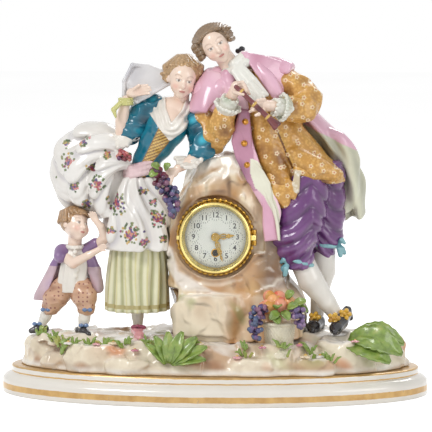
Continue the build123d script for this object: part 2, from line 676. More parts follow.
def build_winding_arbor():
    """The winding arbor: ratchet wheel in front of the plate and a square for the key."""
    points = []
    pitch = 360 / RATCHET_TEETH
    for tooth in range(RATCHET_TEETH):
        points.append(polar(RATCHET_RADIUS, tooth * pitch))
        points.append(polar(RATCHET_RADIUS - RATCHET_TOOTH, tooth * pitch))
    ratchet = slab(make_face(Polyline(*points, close=True)), -RATCHET_BACK, WHEEL_THICKNESS - RATCHET_BACK)
    square = Pos(0, 0, -RATCHET_BACK + (RATCHET_BACK - ARBOR_FRONT) / 2) * Box(
        SQUARE_SIDE, SQUARE_SIDE, RATCHET_BACK - ARBOR_FRONT)
    turned = Pos(BARREL_AT[0], BARREL_AT[1], 0) * (ratchet + square)
    return turned + arbor(BARREL_AT, ARBOR_RADIUS, BACK_PLATE_BACK, RATCHET_BACK - WHEEL_THICKNESS)


CLICK_AT = shifted(BARREL_AT, CLICK_PIVOT_DISTANCE, CLICK_PIVOT_DIRECTION)
CLICK_TIP = shifted(BARREL_AT, RATCHET_RADIUS + CLICK_GAP, CLICK_DIRECTION)


def build_click():
    """The click: a pawl on the front plate, its nose just clear of the ratchet teeth."""
    outer = shifted(BARREL_AT, RATCHET_RADIUS + CLICK_GAP + CLICK_WIDTH, CLICK_DIRECTION)
    near = shifted(CLICK_AT, CLICK_PIVOT_RADIUS, CLICK_DIRECTION - 180 + CLICK_EYE)
    far = shifted(CLICK_AT, CLICK_EYE, CLICK_DIRECTION)
    arm = make_face(Polyline(CLICK_TIP, outer, far, near, close=True))
    outline = Pos(CLICK_AT[0], CLICK_AT[1]) * Circle(CLICK_EYE) + arm
    outline -= Pos(BARREL_AT[0], BARREL_AT[1]) * Circle(RATCHET_RADIUS + CLICK_GAP)
    outline -= Pos(CLICK_AT[0], CLICK_AT[1]) * Circle(CLICK_PIVOT_RADIUS + RUNNING_PLAY)
    return slab(outline, -RATCHET_BACK, WHEEL_THICKNESS - RATCHET_BACK)


COCK_SCREW_AT = shifted(BALANCE_AT, COCK_REACH, COCK_DIRECTION)
COCK_FRONT = COCK_BACK - COCK_THICKNESS


def build_balance():
    """The balance wheel on its staff, with the wider cylinder beside the escape wheel."""
    rim = Circle(BALANCE_RADIUS) - Circle(BALANCE_RADIUS - RIM_WIDTH)
    rim += Rectangle(BALANCE_RADIUS * 2 - RIM_WIDTH, SPOKE_WIDTH) + Circle(HUB_RADIUS)
    disc = slab(rim, -BALANCE_BACK, BALANCE_THICKNESS - BALANCE_BACK)
    blank = Pos(BALANCE_AT[0], BALANCE_AT[1], 0) * disc
    blank += arbor(BALANCE_AT, CYLINDER_RADIUS, COCK_FRONT - FACE_GAP, FRONT_PLATE_BACK + FACE_GAP)
    return blank + arbor(BALANCE_AT, PIVOT_RADIUS, COCK_BACK, FRONT_PLATE_FRONT)


def build_hairspring():
    """The hairspring, from a stud on the back plate in to just clear of the staff."""
    coil = spiral(HAIRSPRING_TURNS, CYLINDER_RADIUS + SPRING_END_GAP, HAIRSPRING_RADIUS,
                  HAIRSPRING_STRIP, HAIRSPRING_BACK, HAIRSPRING_HEIGHT)
    stud_u = HAIRSPRING_RADIUS - HAIRSPRING_STRIP
    length = HAIRSPRING_BACK - BACK_PLATE_BACK
    stud = Pos(stud_u, -STUD_WIDTH / 2, -BACK_PLATE_BACK - length / 2) * Box(STUD_WIDTH, STUD_WIDTH, length)
    return Pos(BALANCE_AT[0], BALANCE_AT[1], 0) * (coil + stud)


def build_cock():
    """The balance cock: a foot on the back plate and an arm over the balance."""
    outline = Circle(COCK_WIDTH / 2) + Pos(COCK_REACH, 0) * Circle(COCK_WIDTH / 2)
    outline += Pos(COCK_REACH / 2, 0) * Rectangle(COCK_REACH, COCK_WIDTH)
    turned = Pos(BALANCE_AT[0], BALANCE_AT[1]) * Rot(0, 0, COCK_DIRECTION) * outline
    cock = slab(turned, -COCK_BACK, -COCK_FRONT)
    foot = rod(COCK_SCREW_AT, COCK_WIDTH / 2, -COCK_BACK, -BACK_PLATE_BACK)
    cock += foot
    cock -= rod(COCK_SCREW_AT, FOOT_RADIUS, -OVERRUN, OVERRUN)
    return cock - pivot_room(BALANCE_AT, PIVOT_RADIUS)


def clock_pieces():
    """Every piece of the clock, set into the rock."""
    local = {
        "bezel_flange": build_flange(),
        "bezel_door": build_door(),
        "bezel_glass": build_glass(),
        "dial": build_dial(),
        "hour_hand": build_hand(
            HOUR_HAND_LENGTH, HOUR_LOOP_SHARES, HOUR_HAND_ANGLE, HOUR_HAND_FRONT, PIPE_RADIUS),
        "minute_hand": build_hand(
            MINUTE_HAND_LENGTH, MINUTE_LOOP_SHARES, MINUTE_HAND_ANGLE, MINUTE_HAND_FRONT, CANNON_RADIUS),
        "hour_wheel": build_hour_wheel(),
        "cannon_pinion": build_cannon(),
        "minute_wheel": build_minute_wheel(),
        "front_plate": build_front_plate(),
        "back_plate": build_back_plate(),
        "pillars": build_pillars(),
        "barrel": build_barrel(),
        "mainspring": build_mainspring(),
        "winding_arbor": build_winding_arbor(),
        "click": build_click(),
        "centre_wheel": build_centre_wheel(),
        "third_wheel": build_third_wheel(),
        "fourth_wheel": build_fourth_wheel(),
        "escape_wheel": build_escape_wheel(),
        "balance_wheel": build_balance(),
        "hairspring": build_hairspring(),
        "balance_cock": build_cock(),
        "drum_case": build_case(),
        "rear_ring": build_rear_ring(),
        "rear_cover": build_cover(),
        "pins_and_screws": build_hinge_pins() + build_screws(),
    }
    placed = {}
    for name, piece in local.items():
        solids = piece if isinstance(piece, list) else [piece]
        placed[name] = [CLOCK.location * solid for solid in solids]
    return placed


# Helpers for the porcelain

MERGE_SHARE = 0.02


def cut(piece, *others):
    """The piece without the room that other pieces take; small leftovers are dropped."""
    for other in others:
        if boxes_meet(piece, other):
            piece = piece - other
    solids = piece.solids()
    largest = max(solid.volume for solid in solids)
    return Compound([solid for solid in solids if solid.volume > largest * MERGE_SHARE])


def boxes_meet(one, other):
    """Whether the boxes around two pieces overlap."""
    a = one.bounding_box()
    b = other.bounding_box()
    apart = a.max.X < b.min.X or b.max.X < a.min.X
    apart = apart or a.max.Y < b.min.Y or b.max.Y < a.min.Y
    return not (apart or a.max.Z < b.min.Z or b.max.Z < a.min.Z)


def faceted(rings):
    """A solid of flat facets through closed rings of points, from the lowest to the highest."""
    faces = [Face(Wire.make_polygon(rings[0])), Face(Wire.make_polygon(rings[-1]))]
    count = len(rings[0])
    for low, high in zip(rings, rings[1:]):
        for index in range(count):
            after = (index + 1) % count
            faces.append(Face(Wire.make_polygon([low[index], low[after], high[after]])))
            faces.append(Face(Wire.make_polygon([low[index], high[after], high[index]])))
    return Solid(Shell(faces))


def across(place, axis, lying=False):
    """The plane of a section: its x runs in the X-Z plane, or level for a body that lies along Y."""
    direction = Vector(*axis).normalized()
    side = Vector(0, 0, 1) if lying else Vector(0, 1, 0)
    return Plane(origin=place, x_dir=side.cross(direction), z_dir=direction)


def directions(places):
    """The direction of a path at each of its places."""
    steps = [after - before for before, after in zip(places, places[1:])]
    between = [one.normalized() + two.normalized() for one, two in zip(steps, steps[1:])]
    return [end.normalized() for end in [steps[0], *between, steps[-1]]]


def fold_points(width, depth, folds, fold_share):
    """Points of a pleated oval."""
    points = []
    for step in range(folds * 4):
        angle = math.radians(step * 90 / folds)
        swell = 1 + fold_share * math.cos(angle * folds)
        points.append((width * swell * math.cos(angle), depth * swell * math.sin(angle)))
    return points


def drape(places, widths, depths, folds=0, fold_share=0.0):
    """A smooth body through oval sections; with folds it hangs in pleats."""
    sections = []
    span = places[-1] - places[0]
    lying = abs(span.Y) > span.length / 2
    for place, axis, width, depth in zip(places, directions(places), widths, depths):
        if folds:
            outline = make_face(Spline(*fold_points(width, depth, folds, fold_share), periodic=True))
        else:
            outline = Ellipse(width, depth)
        sections.append(across(place, axis, lying) * outline)
    return loft(sections)


def limb(places, radii):
    """A smooth round limb."""
    return drape(places, radii, radii)


def egg(place, width, depth, height, lean=0.0):
    """An ellipsoid, leant in the X-Z plane."""
    return Pos(place) * Rot(0, lean, 0) * scale(Sphere(1), by=(width, depth, height))


class Figure:
    """The frame of one figure: places and sizes are hundredths of its stature."""

    def __init__(self, stature, x, y, z):
        self.unit = stature / HUNDREDTHS
        self.foot = Vector(x, y, z)

    def at(self, *shares):
        return self.foot + Vector(*shares) * self.unit

    def size(self, share):
        return share * self.unit

    def drape(self, shares, folds=0, fold_share=0.0):
        places = [self.at(*row[:3]) for row in shares]
        widths = [self.size(row[3]) for row in shares]
        depths = [self.size(row[4]) for row in shares]
        return drape(places, widths, depths, folds, fold_share)

    def limb(self, shares):
        return limb([self.at(*row[:3]) for row in shares], [self.size(row[3]) for row in shares])

    def ball(self, x, y, z, radius):
        return Pos(self.at(x, y, z)) * Sphere(self.size(radius))

    def egg(self, x, y, z, width, depth, height, lean=0.0):
        return egg(self.at(x, y, z), self.size(width), self.size(depth), self.size(height), lean)

    def bunch(self, shares):
        """Round lumps moulded together."""
        lump = self.ball(*shares[0])
        for row in shares[1:]:
            lump += self.ball(*row)
        return lump


MAN = Figure(MAN_STATURE, MAN_X, MAN_Y, GROUND_TOP + MAN_STEP)
WOMAN = Figure(WOMAN_STATURE, WOMAN_X, WOMAN_Y, GROUND_TOP)
BOY = Figure(BOY_STATURE, BOY_X, BOY_Y, GROUND_TOP + BOY_STEP)
BASKET = Figure(BASKET_HEIGHT, BASKET_X, BASKET_Y, GROUND_TOP)


# Plinth, ground and rock


def oval(inset, height):
    """An oval of the plinth, set in from its edge."""
    return Pos(0, 0, height) * Ellipse(PLINTH_LENGTH / 2 - inset, PLINTH_DEPTH / 2 - inset)


def build_plinth():
    """The hollow oval plinth, open below."""
    shoulder = PLINTH_STEP + PLINTH_SHOULDER
    body = extrude(oval(0, 0), PLINTH_STEP)
    bend = oval(PLINTH_INSET / 3, PLINTH_STEP + PLINTH_SHOULDER * 2 / 3)
    body += loft([oval(0, PLINTH_STEP), bend], ruled=True)
    body += loft([bend, oval(PLINTH_INSET, shoulder)], ruled=True)
    body += extrude(oval(PLINTH_INSET, shoulder), PLINTH_UPPER)
    return body - extrude(oval(PLINTH_INSET + PLINTH_WALL, 0), PLINTH_TOP - PLINTH_WALL)


GROUND_RING_SHARES = ((1.0, 0.0), (0.99, 0.22), (0.955, 0.5), (0.885, 0.8), (0.80, 1.0))
GROUND_WOBBLE_SHARES = (
    1.0, 0.985, 0.965, 0.99, 1.0, 0.97, 0.985, 1.0, 0.975, 0.99, 1.0, 0.97,
    1.0, 0.985, 0.97, 0.99, 1.0, 0.975, 0.985, 1.0, 0.97, 0.99, 0.98, 0.97,
)


def ground_ring(radius_share, height, wall, turn):
    """One closed ring of the ground."""
    count = len(GROUND_WOBBLE_SHARES)
    points = []
    for index in range(count):
        share = radius_share * GROUND_WOBBLE_SHARES[(index + turn) % count]
        angle = math.radians(index * 360 / count)
        half_length = (PLINTH_LENGTH / 2 - PLINTH_INSET - GROUND_INSET) * share - wall
        half_depth = (PLINTH_DEPTH / 2 - PLINTH_INSET - GROUND_INSET) * share - wall
        points.append((half_length * math.cos(angle), half_depth * math.sin(angle), height))
    return points


def mound(x, y, radius, height):
    """A low six-sided stone on the ground."""
    low = []
    high = []
    for side in range(6):
        angle = math.radians(side * 60 + 20)
        along = radius * math.cos(angle)
        aside = radius * math.sin(angle)
        low.append((x + along, y + aside, GROUND_TOP - GROUND_WALL / 2))
        high.append((x + along * 3 / 4, y + aside * 3 / 4, GROUND_TOP + height))
    return faceted([low, high])


# A stone: corners of its outline, then width and height of its rings, as shares of its half size
STONE_CORNER_SHARES = (
    (1.0, 0.1), (0.62, 0.8), (-0.2, 1.0), (-0.9, 0.6), (-1.0, -0.2), (-0.5, -0.95), (0.45, -0.9),
)
STONE_RING_SHARES = ((0.92, -1.0), (1.0, 0.35), (0.8, 1.0))
# Stones of the ground: middle x, y, z and half length, depth, height, as shares of the base and its rise
GROUND_STONE_SHARES = (
    (-0.047, -0.316, 0.5, 0.099, 0.074, 0.5), (0.151, -0.316, 0.5, 0.071, 0.084, 0.5),
    (-0.264, -0.274, 0.47, 0.08, 0.079, 0.45), (0.297, -0.25, 0.53, 0.08, 0.068, 0.5),
    (-0.392, -0.032, 0.5, 0.057, 0.137, 0.46), (0.387, 0.053, 0.5, 0.061, 0.147, 0.46),
    (-0.255, 0.221, 0.5, 0.108, 0.095, 0.46), (0.019, 0.305, 0.5, 0.127, 0.084, 0.48),
    (0.255, 0.232, 0.5, 0.099, 0.095, 0.48), (0.104, -0.379, 0.3, 0.071, 0.047, 0.3),
    (-0.179, -0.358, 0.28, 0.066, 0.047, 0.28), (0.231, -0.347, 0.28, 0.061, 0.042, 0.28),
)


def stone(middle, half):
    """A stone of flat facets, from its middle and its half length, depth and height."""
    rings = []
    for size, height in STONE_RING_SHARES:
        level = middle[2] + half[2] * height
        rings.append([
            (middle[0] + half[0] * size * along, middle[1] + half[1] * size * aside, level)
            for along, aside in STONE_CORNER_SHARES
        ])
    return faceted(rings)


def build_ground():
    """The hollow ground with ledges of stone and low stones under the man and the boy."""
    outer = []
    inner = []
    for turn, (radius_share, height_share) in enumerate(GROUND_RING_SHARES):
        outer.append(ground_ring(radius_share, PLINTH_TOP + GROUND_RISE * height_share, 0, turn * 5))
        inner_height = PLINTH_TOP + (GROUND_RISE - GROUND_WALL) * height_share
        inner.append(ground_ring(radius_share, inner_height, GROUND_WALL, turn * 5))
    ground = faceted(outer)
    for x, y, z, length, depth, height in GROUND_STONE_SHARES:
        middle = (PLINTH_LENGTH * x, PLINTH_DEPTH * y, PLINTH_TOP + GROUND_RISE * z)
        ground += stone(middle, (PLINTH_LENGTH * length, PLINTH_DEPTH * depth, GROUND_RISE * height))
    ground -= faceted(inner)
    ground += mound(MAN_X, MAN_Y - GROUND_WALL, MAN_STATURE / 7, MAN_STEP)
    return ground + mound(BOY_X, BOY_Y + GROUND_WALL / 2, BOY_STATURE / 3, BOY_STEP)


# Rock rings: height share, then left, right, front and back limits as shares of the rock's size
ROCK_RING_SHARES = (
    (0.0, -0.41, 0.5, -0.48, 0.5), (0.12, -0.4, 0.48, -0.45, 0.48),
    (0.24, -0.4, 0.44, -0.4, 0.45), (0.36, -0.43, 0.36, -0.355, 0.42),
    (0.48, -0.47, 0.36, -0.345, 0.41), (0.6, -0.46, 0.32, -0.34, 0.4),
    (0.74, -0.38, 0.26, -0.335, 0.38), (0.85, -0.32, 0.18, -0.32, 0.37),
    (0.94, -0.26, 0.11, -0.29, 0.35), (1.0, -0.23, 0.05, -0.24, 0.3),
)
ROCK_CORNER_SHARES = (
    (1.0, -0.3), (1.0, 0.3), (0.86, 0.8), (0.45, 1.0), (-0.1, 0.95), (-0.6, 1.0), (-0.95, 0.7),
    (-1.0, 0.15), (-0.97, -0.4), (-0.88, -0.86), (-0.45, -1.0), (0.0, -0.97), (0.5, -1.0),
    (0.9, -0.8),
)
ROCK_WOBBLE_SHARES = (1.0, 0.95, 1.03, 0.97, 1.02, 0.94, 1.0)
# Stones that stand out of the rock: middle x, y, z and half length, depth, height, as shares of its size
ROCK_STONE_SHARES = (
    (-0.147, -0.404, 0.155, 0.253, 0.154, 0.109), (-0.327, -0.192, 0.386, 0.113, 0.163, 0.098),
    (0.253, 0.135, 0.397, 0.12, 0.154, 0.109), (0.013, 0.404, 0.168, 0.347, 0.154, 0.12),
    (0.307, 0.308, 0.147, 0.147, 0.21, 0.12), (-0.213, 0.135, 0.82, 0.12, 0.22, 0.098),
)


def rock_ring(row, size_share, wobble):
    """One closed ring of the rock."""
    height, left, right, front, back = row
    middle_x = ROCK_CENTRE_X + ROCK_WIDTH * (left + right) / 2
    middle_y = ROCK_CENTRE_Y + ROCK_DEPTH * (front + back) / 2
    half_x = ROCK_WIDTH * (right - left) / 2 * size_share
    half_y = ROCK_DEPTH * (back - front) / 2 * size_share
    points = []
    for index, (x, y) in enumerate(ROCK_CORNER_SHARES):
        swell = ROCK_WOBBLE_SHARES[(index + wobble) % len(ROCK_WOBBLE_SHARES)]
        points.append((middle_x + half_x * x * swell, middle_y + half_y * y * swell,
                       GROUND_TOP - ROCK_SINK + ROCK_HEIGHT * height))
    return points


def clock_room(radius, back, front):
    """A round room along the clock's axis, between two depths from the seat."""
    return CLOCK.location * rod(CENTRE_AT, radius, back, front)


def build_rock():
    """The faceted rock with its stones, the bore for the drum and flat seats in front and behind."""
    rock = faceted([rock_ring(row, 1.0, wobble) for wobble, row in enumerate(ROCK_RING_SHARES)])
    for x, y, z, length, depth, height in ROCK_STONE_SHARES:
        middle = (ROCK_CENTRE_X + ROCK_WIDTH * x, ROCK_CENTRE_Y + ROCK_DEPTH * y,
                  GROUND_TOP - ROCK_SINK + ROCK_HEIGHT * z)
        rock += stone(middle, (ROCK_WIDTH * length, ROCK_DEPTH * depth, ROCK_HEIGHT * height))
    seat_radius = FLANGE_RADIUS + FLANGE_LOBE_HEIGHT + SEAT_PLAY
    rock += clock_room(seat_radius + SEAT_PLAY, -CASE_LENGTH, 0)
    rock -= clock_room(seat_radius, 0, OVERRUN)
    rock -= clock_room(seat_radius, -CASE_LENGTH - OVERRUN, -CASE_LENGTH)
    rock -= clock_room(CASE_RADIUS + BORE_PLAY, -CASE_LENGTH - OVERRUN, OVERRUN)
    hinge_room = Pos(DOOR_HINGE_U, 0, OVERRUN / 2) * Box(HINGE_REACH * 6, KNUCKLE_LENGTH * 6, OVERRUN)
    rock -= CLOCK.location * hinge_room
    return rock


def build_leaves():
    """Big leaves on the ground: a clump in front and one at the right."""
    leaves = []
    for x, y, z, length, turn, lift in LEAF_PLACE_SHARES:
        size = LEAF_LENGTH * length
        points = [(size * along, size * aside) for along, aside in LEAF_OUTLINE_SHARES]
        blade = extrude(make_face(Polyline(*points, close=True)), LEAF_THICKNESS)
        spot = (PLINTH_LENGTH * x, PLINTH_DEPTH * y, GROUND_TOP + GROUND_RISE * z)
        leaves.append(Pos(*spot) * Rot(0, 0, turn) * Rot(0, lift, 0) * blade)
    return leaves


LEAF_LENGTH = 60.0
LEAF_THICKNESS = 3.0
LEAF_OUTLINE_SHARES = (
    (-0.5, -0.03), (-0.3, -0.16), (0.0, -0.22), (0.25, -0.17), (0.5, 0.0), (0.25, 0.17),
    (0.0, 0.22), (-0.3, 0.16), (-0.5, 0.03),
)
LEAF_PLACE_SHARES = (
    (-0.13, -0.40, 0.1, 0.75, 165, -35), (-0.075, -0.385, 0.2, 0.7, 105, -60),
    (-0.02, -0.40, 0.1, 0.66, 25, -30), (0.372, -0.26, -0.09, 0.95, -12, 20),
)


# Basket of fruit

BASKET_WALL_SHARES = ((0, 30), (8, 27), (16, 21), (40, 22), (60, 26), (64, 27))
FRUIT_SHARES = (
    (0, 0, 64, 20), (-15, -8, 72, 14), (12, -12, 72, 14), (14, 8, 74, 14), (-10, 10, 76, 14),
    (2, -4, 84, 14),
)
GRAPE_LEFT_SHARES = (
    (-28, -10, 74, 7), (-34, -13, 66, 11), (-34, -16, 56, 9), (-34, -18, 47, 9), (-34, -20, 38, 4),
)
GRAPE_RIGHT_SHARES = (
    (26, -8, 78, 7), (31, -12, 70, 10), (31, -16, 60, 8), (30, -18, 52, 8), (30, -20, 44, 4),
)


def basket_pieces():
    """The footed basket, its heap of fruit and the grapes hanging over its rim."""
    sections = []
    for height, radius in BASKET_WALL_SHARES:
        sections.append(Pos(BASKET.at(0, 0, height)) * Circle(BASKET.size(radius)))
    fruit = BASKET.bunch(FRUIT_SHARES)
    basket = cut(loft(sections), fruit)
    left = cut(BASKET.limb(GRAPE_LEFT_SHARES), basket, fruit)
    right = cut(BASKET.limb(GRAPE_RIGHT_SHARES), basket, fruit)
    return {"fruit_basket": [basket], "basket_fruit": [fruit], "basket_grapes": [left, right]}


# Woman: tables of places and half sizes in hundredths of her stature

WOMAN_PETTICOAT_SHARES = (
    (-0.4, -0.6, 9.4, 11.4, 10.7), (-0.4, -0.6, 20, 10.9, 10.2), (-0.4, -0.6, 32, 9.8, 9.2),
)
WOMAN_APRON_SHARES = (
    (0.4, -1.2, 32, 13.7, 12.3), (0.4, -1.2, 41.2, 12.6, 11.2), (0.4, -1.2, 50.4, 9.7, 8.7),
    (0.4, -1.2, 57.4, 6.4, 5.6),
)
WOMAN_PUFF_SHARES = (
    (-4, 3, 51, 8, 7), (-12, 5, 54, 13, 10), (-20, 6, 58, 14, 11), (-25, 6, 61, 11, 9),
    (-29, 6, 63, 4, 4),
)
WOMAN_SWAG_SHARES = (
    (
        (-8, 4.4, 69, 3.9), (-17, 5, 71.2, 5), (-24.8, 5.8, 65.8, 5.2), (-26.8, 5.8, 56.5, 4.8),
        (-23.6, 5.8, 48, 3.4),
    ),
    (
        (-5.6, -0.8, 66.6, 3.2), (-13, -2.2, 68, 4.4), (-19.8, -3, 63, 4.5), (-21.3, -3, 55, 4.1),
        (-17.8, -2.2, 47, 3),
    ),
    (
        (-3, -3, 63, 2.9), (-9, -5.4, 62.2, 3.7), (-13, -6.1, 56.4, 3.8), (-12.7, -5.8, 49.8, 3.4),
        (-9.8, -5, 44, 2.6),
    ),
    (
        (-7.4, 11, 68.6, 3.6), (-16.6, 13, 69, 4.4), (-23.4, 13, 62, 4.4), (-23.4, 12.4, 52.8, 4),
        (-18.4, 11, 46, 3),
    ),
)
WOMAN_BODICE_SHARES = (
    (1.4, -1.1, 60.6, 5.1, 4.3), (5.8, -1.1, 67.9, 6.9, 5.8), (10.5, -1.4, 75.8, 9.0, 6.9),
    (13, 0.4, 81.6, 9.7, 5.8), (14.4, 1.1, 84.1, 5.1, 4.0),
)
WOMAN_NECK_SHARES = ((14.6, 0.9, 82, 3.7), (15.5, 0, 85.9, 3.2), (15.9, -0.7, 89.5, 3.1))
WOMAN_HEAD_SHARES = (
    (15.9, -3.6, 85.9, 1.4, 1.8), (15.9, -2.9, 88.1, 3.6, 4.3), (15.9, -1.8, 91.3, 5.1, 5.8),
    (15.9, -0.7, 94.6, 5.2, 6.1), (15.9, 0.4, 97.5, 3.6, 4.3), (15.9, 0.7, 98.6, 1.4, 1.8),
)
WOMAN_HAIR_SHARES = ((16.2, 1.4, 94.6, 6.6, 6.4, 6.2), (17, 5.5, 90.5, 4.5, 4, 5.5))
WOMAN_FACE_ROOM_SHARES = (15.9, -10, 89.5, 5.4, 9, 5.4)
WOMAN_LEFT_SLEEVE_SHARES = ((5.4, 1.4, 81.6, 4.7), (-0.4, 0.7, 76.5, 5.1), (-5.4, 0, 71.5, 3.6))
WOMAN_RIGHT_SLEEVE_SHARES = ((20.6, 1.4, 78.7, 4.7), (22.7, -2.2, 73.6, 5.1), (23.5, -5.8, 67.9, 3.6))
WOMAN_LEFT_ARM_SHARES = (
    (-5.9, -0.2, 70.6, 2.5), (-5.1, -2.2, 78.7, 2.3), (-4, -3.6, 85.2, 1.6),
    (-0.4, -4.7, 88.1, 2.2), (6.1, -6.1, 89.5, 0.9),
)
WOMAN_RIGHT_ARM_SHARES = (
    (23.3, -6, 67, 2.5), (19.1, -10.1, 63.5, 2.3), (14.8, -12.6, 61.4, 1.6),
    (12.3, -13.7, 59.9, 2.2), (9, -14.8, 57, 0.9),
)
WOMAN_HAT_SHARES = (
    (0.6, -2.3, 92.8, 7.6, 5.2), (0.6, -1.4, 92.8, 8.2, 5.6), (0.6, -0.4, 92.8, 4.9, 3.9),
    (0.6, 1.8, 92.8, 4.2, 3.4),
)
WOMAN_GRAPE_SHARES = (
    (9.3, -15.2, 56.6, 2), (9.9, -15.6, 54, 3.2), (10.6, -16, 51, 2.6), (11.2, -16.4, 48, 2.8),
    (11.8, -16.8, 44.4, 1.2),
)
WOMAN_LEG_SHARES = ((-0.4, -0.7, 12, 2.6), (-0.2, -1.4, 7, 2.1), (0, -2.2, 3, 1.8))
WOMAN_SHOE_SHARES = (
    (-0.4, 1.4, 2.2, 1.6), (0, -2.2, 2.4, 2.3), (0.8, -7, 1.9, 2.1), (1.4, -11.5, 1.2, 0.9),
)
SHOE_HEIGHT_SHARE = 0.9
PETTICOAT_FOLDS = 14
PETTICOAT_FOLD_SHARE = 0.045
APRON_FOLDS = 8
APRON_FOLD_SHARE = 0.07


def woman_pieces(base, before):
    """The woman, each piece cut to meet what lies under it and before it."""
    petticoat = cut(WOMAN.drape(WOMAN_PETTICOAT_SHARES, PETTICOAT_FOLDS, PETTICOAT_FOLD_SHARE), *base)
    bodice = cut(WOMAN.drape(WOMAN_BODICE_SHARES), *base)
    overskirt = WOMAN.drape(WOMAN_APRON_SHARES, APRON_FOLDS, APRON_FOLD_SHARE)
    overskirt += WOMAN.drape(WOMAN_PUFF_SHARES)
    for swag_shares in WOMAN_SWAG_SHARES:
        overskirt += WOMAN.limb(swag_shares)
    overskirt = cut(overskirt, bodice, *before, *base)
    head = cut(WOMAN.limb(WOMAN_NECK_SHARES) + WOMAN.drape(WOMAN_HEAD_SHARES), bodice)
    hair = WOMAN.egg(*WOMAN_HAIR_SHARES[0]) + WOMAN.egg(*WOMAN_HAIR_SHARES[1])
    hair = cut(hair - WOMAN.egg(*WOMAN_FACE_ROOM_SHARES), head, bodice)
    sleeves = []
    arms = []
    for sleeve_shares, arm_shares in (
        (WOMAN_LEFT_SLEEVE_SHARES, WOMAN_LEFT_ARM_SHARES),
        (WOMAN_RIGHT_SLEEVE_SHARES, WOMAN_RIGHT_ARM_SHARES),
    ):
        sleeve = cut(WOMAN.limb(sleeve_shares), bodice, head, hair, overskirt, *base)
        sleeves.append(sleeve)
        arms.append(cut(WOMAN.limb(arm_shares), sleeve, bodice, hair, overskirt, head, *base))
    hat = cut(WOMAN.drape(WOMAN_HAT_SHARES), hair)
    grapes = cut(WOMAN.limb(WOMAN_GRAPE_SHARES), overskirt, arms[1], *base)
    shoe = cut(WOMAN.drape([row + (row[3] * SHOE_HEIGHT_SHARE,) for row in WOMAN_SHOE_SHARES]), *base)
    leg = cut(WOMAN.limb(WOMAN_LEG_SHARES), petticoat, shoe, *base)
    return {
        "woman_petticoat": [petticoat],
        "woman_overskirt": [overskirt],
        "woman_bodice": [bodice],
        "woman_head": [head],
        "woman_hair": [hair],
        "woman_sleeves": sleeves,
        "woman_arms": arms,
        "woman_hat": [hat],
        "woman_grapes": [grapes],
        "woman_leg": [leg, shoe],
    }


# Man: tables of places and half sizes in hundredths of his stature

MAN_WAISTCOAT_SHARES = (
    (-26.2, -2, 84.6, 4.3, 3.3), (-25.2, -2, 81.3, 9.8, 5.6), (-21.6, -2.6, 74.1, 9.8, 6.6),
    (-15.7, -3.3, 64.9, 9.5, 6.9), (-9.8, -2.6, 57.7, 9.8, 7.2), (-5.9, -2, 51.8, 10.5, 7.9),
    (-4.3, -2, 46.6, 10.8, 8.2),
)
MAN_COAT_SHARES = (
    (-26.2, 1.3, 85.6, 6.6, 4.9), (-24.9, 1, 81.6, 12.5, 7.5), (-21, 1, 74.4, 12.1, 8.2),
    (-14.4, 1.6, 64.9, 12.5, 8.9), (-7.9, 3.6, 57, 13.4, 8.6), (-2, 5.6, 48.5, 13.8, 7.4),
    (1.3, 7, 40.7, 12.5, 6), (3, 7.9, 34.1, 10.8, 4.4),
)
MAN_COAT_ROOM_SHARES = (
    (-30, -9, 92, 9, 7), (-24, -9, 81, 11, 10), (-17, -9.5, 65, 12.5, 13), (-6, -7, 50, 13, 13.5),
    (2, -3, 36, 11, 12), (4, -1, 25, 10, 11),
)
MAN_COAT_FOLD_SHARES = (
    (
        (-8.5, 0.7, 68.2, 1.6), (-0.7, 0.7, 64.3, 2), (6.9, 1.3, 59.3, 2.3), (8.9, 2.6, 53.1, 2.3),
        (8.5, 3.9, 44.6, 2.3), (6.9, 4.6, 38, 1.6),
    ),
    ((0, 3.3, 61, 2.1), (4.6, 4.3, 53.1, 2.6), (5.2, 5.6, 44.6, 2.6), (3.6, 5.9, 36.7, 2)),
    ((-3.3, 4.6, 57.7, 2.1), (0.7, 5.6, 47.9, 2.6), (1, 6.2, 40.7, 2.6), (-0.3, 5.9, 35.4, 2)),
    (
        (-27.5, -2.6, 89.8, 1.1), (-23, -5.2, 87.2, 1.8), (-19, -7.5, 82.6, 2.3),
        (-15.4, -9.5, 77.4, 2.1), (-13.8, -10.2, 74.4, 1.3),
    ),
    ((-22.3, -1, 86.2, 2.5), (-16.4, -2.3, 85.2, 3.6), (-11.1, -3.9, 83.6, 3)),
)
MAN_PANEL_SHARES = (
    (-28.2, -8.2, 78, 3, 1), (-26.9, -10.8, 65.9, 3.3, 1), (-23.6, -12.6, 53.8, 3.3, 1),
    (-18, -13.3, 43.3, 3, 1), (-16.6, -13.3, 31.5, 2.6, 1),
)
MAN_CAPE_SHARES = (
    (-34.1, -2, 82.6, 5.2, 5.6), (-36.1, -3.9, 76.1, 6.6, 6.9), (-37.4, -5.6, 69.5, 6.9, 7.2),
)
MAN_FRONT_THIGH_SHARES = (
    (-4.9, -3.3, 51.8, 7.9), (-8.5, -7.2, 38.7, 7.9), (-9.8, -8.5, 30.2, 7.2),
    (-8.2, -8.2, 23, 4.9),
)
MAN_REAR_THIGH_SHARES = (
    (-0.7, 1.3, 51.8, 7.2), (0, 1.3, 40, 6.2), (0, 1, 32.1, 5.6), (-0.3, 0.7, 26.9, 4.3),
)
MAN_FRONT_CALF_SHARES = (
    (-8.6, -8.2, 24, 3.9), (-3.9, -7.5, 15.7, 4.3), (1, -6.6, 9.5, 3), (4.1, -6.4, 4.6, 2.3),
)
MAN_REAR_CALF_SHARES = (
    (-0.3, 0.7, 28, 3.8), (-0.7, 1, 19, 3.9), (-2, 1.3, 10.8, 2.8), (-2.6, 0.4, 3.6, 2.3),
)
